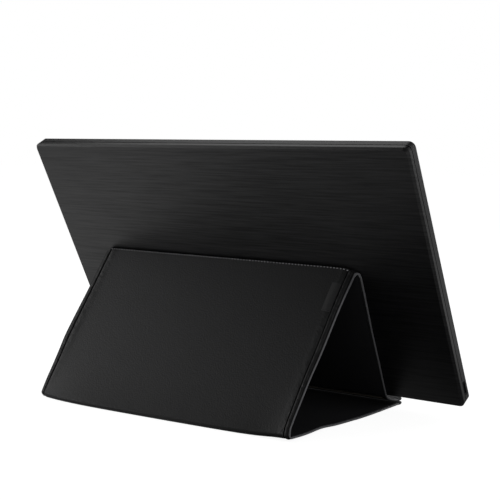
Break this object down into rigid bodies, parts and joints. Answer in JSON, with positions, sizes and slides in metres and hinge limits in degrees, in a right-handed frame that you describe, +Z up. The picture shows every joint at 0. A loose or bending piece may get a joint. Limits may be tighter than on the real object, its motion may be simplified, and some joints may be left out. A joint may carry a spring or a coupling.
{
  "type": "portable monitor with cover",
  "caption": "Slim flat portable display leaning on a folded leatherette cover that forms a triangular stand with a ledge under the display's lower edge.",
  "frame": {"origin": "on the table plane, under the middle of the display's lower back edge", "axes": "+X across the display, -Y the way the screen faces, +Z up"},
  "size_m": [0.3822, 0.1746, 0.2245],
  "materials": {
    "shell_plastic": "fine horizontal hairline, satin",
    "bezel_plastic": "fine moulded grain",
    "adhesive_tape": "black tape",
    "screen_glass": "matte anti-glare polariser",
    "cell_glass": "coated glass",
    "white_film": "satin film",
    "clear_acrylic": "clear",
    "led_strip": "solder mask with lenses",
    "white_plastic": "moulded",
    "panel_aluminium": "rolled",
    "circuit_board": "green solder mask",
    "chip_plastic": "moulded epoxy",
    "tinned_steel": "tinned",
    "socket_steel": "nickel plated",
    "screw_steel": "plated",
    "ribbon_film": "polyester film",
    "foam": "open-cell foam",
    "key_plastic": "moulded",
    "leatherette": "fine woven grain, matte",
    "leatherette_edge": "turned and creased",
    "stiffening_board": "grey fibreboard",
    "lining": "microfibre",
    "keeper_steel": "plated",
    "magnet_nickel": "nickel plated",
    "label_fabric": "woven tape"
  },
  "bodies": {
    "base": {"base_skin": "leatherette", "base_stiffener": "stiffening_board", "base_lining": "lining", "base_edges": "leatherette_edge", "base_hem": "leatherette_edge", "base_keepers": "keeper_steel", "rear_fold_spine": "leatherette"},
    "rear_panel": {"rear_skin": "leatherette", "rear_stiffener": "stiffening_board", "rear_lining": "lining", "rear_edges": "leatherette_edge", "woven_label": "label_fabric", "top_fold_spine": "leatherette"},
    "leg": {"leg_skin": "leatherette", "leg_stiffener": "stiffening_board", "leg_lining": "lining", "leg_edges": "leatherette_edge", "crook_spine": "leatherette"},
    "ledge": {"ledge_skin": "leatherette", "ledge_stiffener": "stiffening_board", "ledge_lining": "lining", "ledge_edges": "leatherette_edge", "ledge_hem": "leatherette_edge", "ledge_magnets": "magnet_nickel"},
    "monitor": {"rear_shell": "shell_plastic", "front_bezel": "bezel_plastic", "bezel_tape": "adhesive_tape", "front_glass": "screen_glass", "transistor_glass": "cell_glass", "diffuser_films": "white_film", "light_guide": "clear_acrylic", "reflector_sheet": "white_film", "backlight_strip": "led_strip", "panel_frame": "white_plastic", "panel_back_plate": "panel_aluminium", "driver_board": "circuit_board", "main_board": "circuit_board", "board_chips": "chip_plastic", "shield_can": "tinned_steel", "usb_socket_shell": "socket_steel", "usb_socket_tongue": "chip_plastic", "board_screws": "screw_steel", "panel_ribbon": "ribbon_film", "key_ribbon": "ribbon_film", "key_board": "circuit_board", "key_switch": "chip_plastic", "light_pipe": "clear_acrylic", "foam_pads": "foam"},
    "power_key": {"power_key": "key_plastic"}
  },
  "joints": [
    {"name": "rear_fold", "type": "hinge", "parent": "base", "child": "rear_panel", "pos_m": [0, 0.152, 0.0025], "axis": [-1, 0, 0], "range_deg": [0, 36]},
    {"name": "top_fold", "type": "hinge", "parent": "rear_panel", "child": "leg", "pos_m": [0, 0.0624, 0.1211], "axis": [1, 0, 0], "range_deg": [0, 57.6]},
    {"name": "crook_fold", "type": "hinge", "parent": "leg", "child": "ledge", "pos_m": [0, 0.00077, 0.00816], "axis": [1, 0, 0], "range_deg": [0, 27]},
    {"name": "monitor_lift", "type": "slide", "parent": "base", "child": "monitor", "axis": [0, 0, 1], "range_m": [0, 0.15]},
    {"name": "key_press", "type": "slide", "parent": "monitor", "child": "power_key", "axis": [0, 0.8829, -0.4695], "range_m": [0, 0.0005], "stiffness_N_per_m": 1500}
  ],
  "couplings": [
    {"joint": "top_fold", "follows": "rear_fold", "ratio": 1.6},
    {"joint": "crook_fold", "follows": "rear_fold", "ratio": 0.75}
  ]
}
